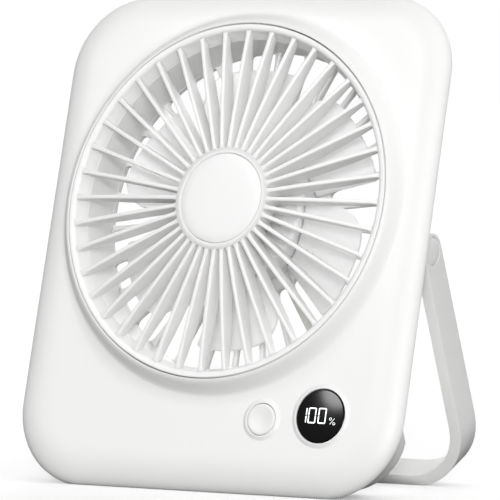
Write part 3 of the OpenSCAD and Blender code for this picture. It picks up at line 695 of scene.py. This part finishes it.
case_screws = together("case_screw_set", *[
    cross_screw("case_screw", screw_head_r, back_z + 0.6, well_seat - 0.02, 1.2, screw_high.z, x, y)
    for x, y in screw_places])
fitted(case_screws, "case", zinc, ["case_screws"])
motor_low, motor_high = face_box("motor_screws")
motor_screw_circle = 10
motor_screws = together("motor_screw_set", *[
    cross_screw("motor_screw", 1.4, motor_low.z, motor_low.z + 0.9, 0.78, motor_high.z,
        motor_screw_circle * math.cos(a), motor_screw_circle * math.sin(a))
    for a in map(math.radians, (30, 150, 270))])
fitted(motor_screws, "case", zinc, ["motor_screws"])


# ---------------------------------------------------------------- folding handle
# A U-shaped ABS strap with round ends and softened edges. Each end turns on a shouldered
# pin under a round cover, and a friction washer holds it where it is set.
pivot = upright.inverted() @ Vector(swing["pos_m"])
fold = -math.radians(swing["range_deg"][0])
hanging = upright @ Matrix.Translation(pivot) @ Matrix.Rotation(fold, 4, "X")
hang_back = hanging.inverted()
strap_half, strap_t = 6.35, 4.3
cad_handle = frame["nodes"]["handle"].data.vertices
arm_out = max(v.co.x for v in cad_handle) / MM
arm_in = arm_out - strap_t
bar_y = round(min((hang_back @ v.co).y for v in cad_handle) - 0.02, 1)
bend_r = 24.0


def across_strap(inner, outer, wide=strap_half):
    """Corners of the strap where it runs between an inner and an outer point."""
    return [(inner[0], inner[1], -wide), (outer[0], outer[1], -wide), (outer[0], outer[1], wide),
        (inner[0], inner[1], wide)]


right_side = [across_strap((arm_in, y), (arm_out, y), math.sqrt(strap_half**2 - y**2))
    for y in (6.33, 6.1, 5.6, 4.9, 4.0, 2.9, 1.6, 0)]
right_side += [across_strap((arm_in, y), (arm_out, y)) for y in (-10, -22, -34, -46, -58)]
for k in range(13):
    a = math.radians(-90 * k / 12)
    middle_x, middle_y = arm_out - bend_r, bar_y + bend_r
    right_side.append(across_strap(
        (middle_x + (bend_r - strap_t) * math.cos(a), middle_y + (bend_r - strap_t) * math.sin(a)),
        (middle_x + bend_r * math.cos(a), middle_y + bend_r * math.sin(a))))
right_side.append(across_strap((27, bar_y + strap_t), (27, bar_y)))
middle_row = [across_strap((0, bar_y + strap_t), (0, bar_y))]
left_side = [[(-x, y, z) for x, y, z in row] for row in reversed(right_side)]
handle = bar("folding_handle", right_side + middle_row + left_side, 0.95, 4)


def sideways(piece, side):
    """Turns a piece made along Z to lie along X, on the right (1) or the left (-1)."""
    picked(piece)
    piece.rotation_euler = (0, side * math.pi / 2, 0)
    bpy.ops.object.transform_apply(location=True, rotation=True, scale=True)
    return piece


cut(handle, *[sideways(plug(5.08, arm_out - 2.2, arm_out + 2), s) for s in (-1, 1)],
    *[sideways(plug(2.56, arm_in - 2, arm_out - 1), s) for s in (-1, 1)])
fitted(handle, "handle", abs_case, ["handle"], stand=hanging, smooth=35)
stood_flat(handle)

cap_profile = [(r, arm_out - depth) for r, depth in ((0, 1), (4.8, 1), (4.88, 0.9), (4.88, 0.32),
    (4.8, 0.16), (4.6, 0.08), (3, 0.02), (0, 0))]
pivot_covers = together("pivot_covers", *[
    sideways(spun("pivot_cover", cap_profile, 96), s) for s in (-1, 1)])
fitted(pivot_covers, "handle", abs_case, ["pivot_caps"], stand=hanging)


# ---------------------------------------------------------------- power button
# A round ABS button, slightly dished, that stands level with the soft ring round it. Its
# flange stops it behind the face, over the push switch.
abs_button = finish("moulded_abs_button", "#efefee", "#ebebea", 0.0005, 0.000005, (0.34, 0.44))
top = button_high.z
flange_profile = [(r, button_low.z + up)
    for r, up in ((0, 0), (6.4, 0), (6.5, 0.1), (6.5, 0.7), (6.4, 0.8), (5.62, 0.85))]
dish_profile = [(r, top - down)
    for r, down in ((5.62, 0.42), (5.54, 0.16), (5.3, 0.02), (4.9, 0), (4, 0.07), (2.5, 0.2), (0, 0.28))]
button = placed(spun("button_cap", flange_profile + dish_profile, 96), button_x, button_y)
fitted(button, "button", abs_button, ["power_button"])


# ---------------------------------------------------------------- display
# A smoked acrylic window over the charge read-out. Its polished face is very slightly
# domed. The lit bars show through it as plain seven-bar figures and a per cent sign.
smoked = finish("smoked_acrylic", "#040405", "#060607", 0.002, 0.0000004, (0.13, 0.16), specular=0.16)
lens_r = lens_hole - 0.12
lens_top = lens_high.z
dome_up = 0.45


def window_height(x, y):
    """Height of the domed window's face, seen from its own middle."""
    return lens_top + dome_up * (1 - (x * x + y * y) / lens_r**2)


window_profile = [(0, lens_low.z), (lens_r, lens_low.z), (lens_r, lens_top - 0.25),
    (lens_r - 0.06, lens_top - 0.1), (lens_r - 0.22, lens_top)]
window_profile += [(r, window_height(r, 0)) for r in range(9, -1, -1)]
window = placed(spun("display_window", window_profile, 128), lens_x, lens_y)
fitted(window, "case", smoked, ["display_lens"])

lit = bpy.data.materials.new("lit_bars")
lit.use_nodes = True
lit_shader = lit.node_tree.nodes["Principled BSDF"]
lit_shader.inputs["Base Color"].default_value = linear("#f4f6f6")
lit_shader.inputs["Emission Color"].default_value = linear("#f6fafa")
lit_shader.inputs["Emission Strength"].default_value = 0.75
lit_grain = lit.node_tree.nodes.new("ShaderNodeTexNoise")
lit_grain.inputs["Scale"].default_value = 2500
lit_place = lit.node_tree.nodes.new("ShaderNodeTexCoord")
lit_rough = lit.node_tree.nodes.new("ShaderNodeMapRange")
lit_rough.inputs["To Min"].default_value = 0.3
lit_rough.inputs["To Max"].default_value = 0.5
lit.node_tree.links.new(lit_place.outputs["Object"], lit_grain.inputs["Vector"])
lit.node_tree.links.new(lit_grain.outputs["Fac"], lit_rough.inputs["Value"])
lit.node_tree.links.new(lit_rough.outputs["Result"], lit_shader.inputs["Roughness"])
stroke = 0.46
film = 0.05
figure_w, figure_h = 3.2, 5.6
zeros_x, one_x, cent_x = (-3.1, 0.95), -5.5, 5.15


def lit_bar(x, y, long_x, long_y, turn=0.0):
    """One bar of the read-out, its corners cut, laid on the window."""
    bpy.ops.object.select_all(action="DESELECT")
    bpy.ops.mesh.primitive_cube_add(size=1)
    piece = bpy.context.object
    piece.scale = (long_x, long_y, film)
    bpy.ops.object.transform_apply(location=False, rotation=False, scale=True)
    bpy.ops.object.mode_set(mode="EDIT")
    bpy.ops.mesh.select_all(action="DESELECT")
    bpy.ops.object.mode_set(mode="OBJECT")
    for e in piece.data.edges:
        a, b = (piece.data.vertices[i].co for i in e.vertices)
        e.select = abs(a.z - b.z) > film / 2
    bpy.ops.object.mode_set(mode="EDIT")
    bpy.ops.mesh.select_mode(type="EDGE")
    bpy.ops.mesh.bevel(offset=min(long_x, long_y) * 0.32, segments=1, affect="EDGES")
    bpy.ops.object.mode_set(mode="OBJECT")
    piece.rotation_euler = (0, 0, turn)
    return placed(piece, x, y)


bars = []
for middle_x in zeros_x:
    side_x, end_y = (figure_w - stroke) / 2, (figure_h - stroke) / 2
    bars += [lit_bar(middle_x, s * end_y, figure_w - 0.5, stroke) for s in (-1, 1)]
    bars += [lit_bar(middle_x + sx * side_x, sy * end_y / 2 * 1.03, stroke, end_y - 0.05)
        for sx in (-1, 1) for sy in (-1, 1)]
bars += [lit_bar(one_x, sy * 1.36, stroke, 2.45) for sy in (-1, 1)]
bars.append(lit_bar(cent_x, -1.75, 0.16, 2.7, math.radians(-38)))
ring_profile = [(r, up * film / 2) for r, up in ((0.34, 1), (0.34, -1), (0.5, -1), (0.5, 1), (0.34, 1))]
for x, y in ((cent_x - 0.75, -0.95), (cent_x + 0.75, -2.55)):
    bars.append(placed(spun("ring", ring_profile, 24), x, y))
read_out = together("charge_read_out", *bars)
for v in read_out.data.vertices:
    v.co.z += window_height(v.co.x, v.co.y) + 0.02
placed(read_out, lens_x, lens_y)
fitted(read_out, "case", lit)


# ---------------------------------------------------------------- charging socket
# A USB-C socket shell, folded from thin plated steel, with a dark tongue inside. It opens
# through the rear shell and is soldered to the main board.
tongue_plastic = finish("tongue_plastic", "#1b1b1c", "#232325", 0.0004, 0.000003, (0.35, 0.5))
socket_in, socket_out = 1.3, 1.6
socket_profile = [(socket_in, usb_low.z + 0.05), (1.36, usb_low.z), (1.56, usb_low.z),
    (socket_out, usb_low.z + 0.05), (socket_out, usb_high.z), (0, usb_high.z), (0, usb_high.z - 0.4),
    (socket_in, usb_high.z - 0.4), (socket_in, usb_low.z + 0.05)]
socket_shell = drawn_apart(spun("socket_shell", socket_profile, 48), usb_half_flat)
placed(socket_shell, usb_x, usb_y)
fitted(socket_shell, "case", zinc, ["usb_socket"])
tongue = bar("socket_tongue", [[(-x, -0.35, z), (x, -0.35, z), (x, 0.35, z), (-x, 0.35, z)]
    for x, z in ((3.1, usb_low.z + 0.9), (3.3, usb_low.z + 1.2), (3.3, usb_high.z - 0.35))], 0.08, 2)
placed(tongue, usb_x, usb_y)
fitted(tongue, "case", tongue_plastic)


# ---------------------------------------------------------------- inner parts
# Motor, boards, battery and pivot hardware keep their CAD shapes and get real finishes:
# plated and laminated steel, copper wire, ferrite, solder mask, shrink wrap and brass.
finishes = {
    "steel": zinc,
    "dark_plastic": finish("black_plastic", "#2a2b2d", "#333437", 0.0005, 0.000004, (0.4, 0.55)),
    "magnet": finish("ferrite", "#47474a", "#3b3b3d", 0.0004, 0.00001, (0.55, 0.75)),
    "stator_steel": finish("laminated_steel", "#85888d", "#74777c", 0.0002, 0.000008, (0.35, 0.5), metal=1.0),
    "copper": finish(
        "enamelled_copper", "#b86a34", "#9c5426", 0.0003, 0.00003, (0.2, 0.35), metal=1.0, drift=0.003
    ),
    "cast_alloy": finish("cast_alloy", "#b9bbbe", "#a7a9ad", 0.0004, 0.000012, (0.4, 0.6), metal=1.0),
    "board": finish("solder_mask", "#1f6a3e", "#185a33", 0.0006, 0.000006, (0.25, 0.4)),
    "lead": finish("ribbon_lead", "#d6d6d2", "#c4c4c0", 0.0008, 0.000008, (0.4, 0.55)),
    "cell_wrap": finish("shrink_wrap", "#4a76a8", "#3f6897", 0.002, 0.000006, (0.15, 0.28)),
    "rubber": finish("silicone", "#5b5d5f", "#505254", 0.0005, 0.00001, (0.6, 0.8)),
    "brass": finish("brass", "#c9a353", "#b48e42", 0.0003, 0.000004, (0.25, 0.4), metal=1.0),
}
for part in frame["record"]["subparts"]:
    node = frame["nodes"][part["node"]]
    if part["material_slot"] in finishes:
        node.data.materials.clear()
        node.data.materials.append(finishes[part["material_slot"]])
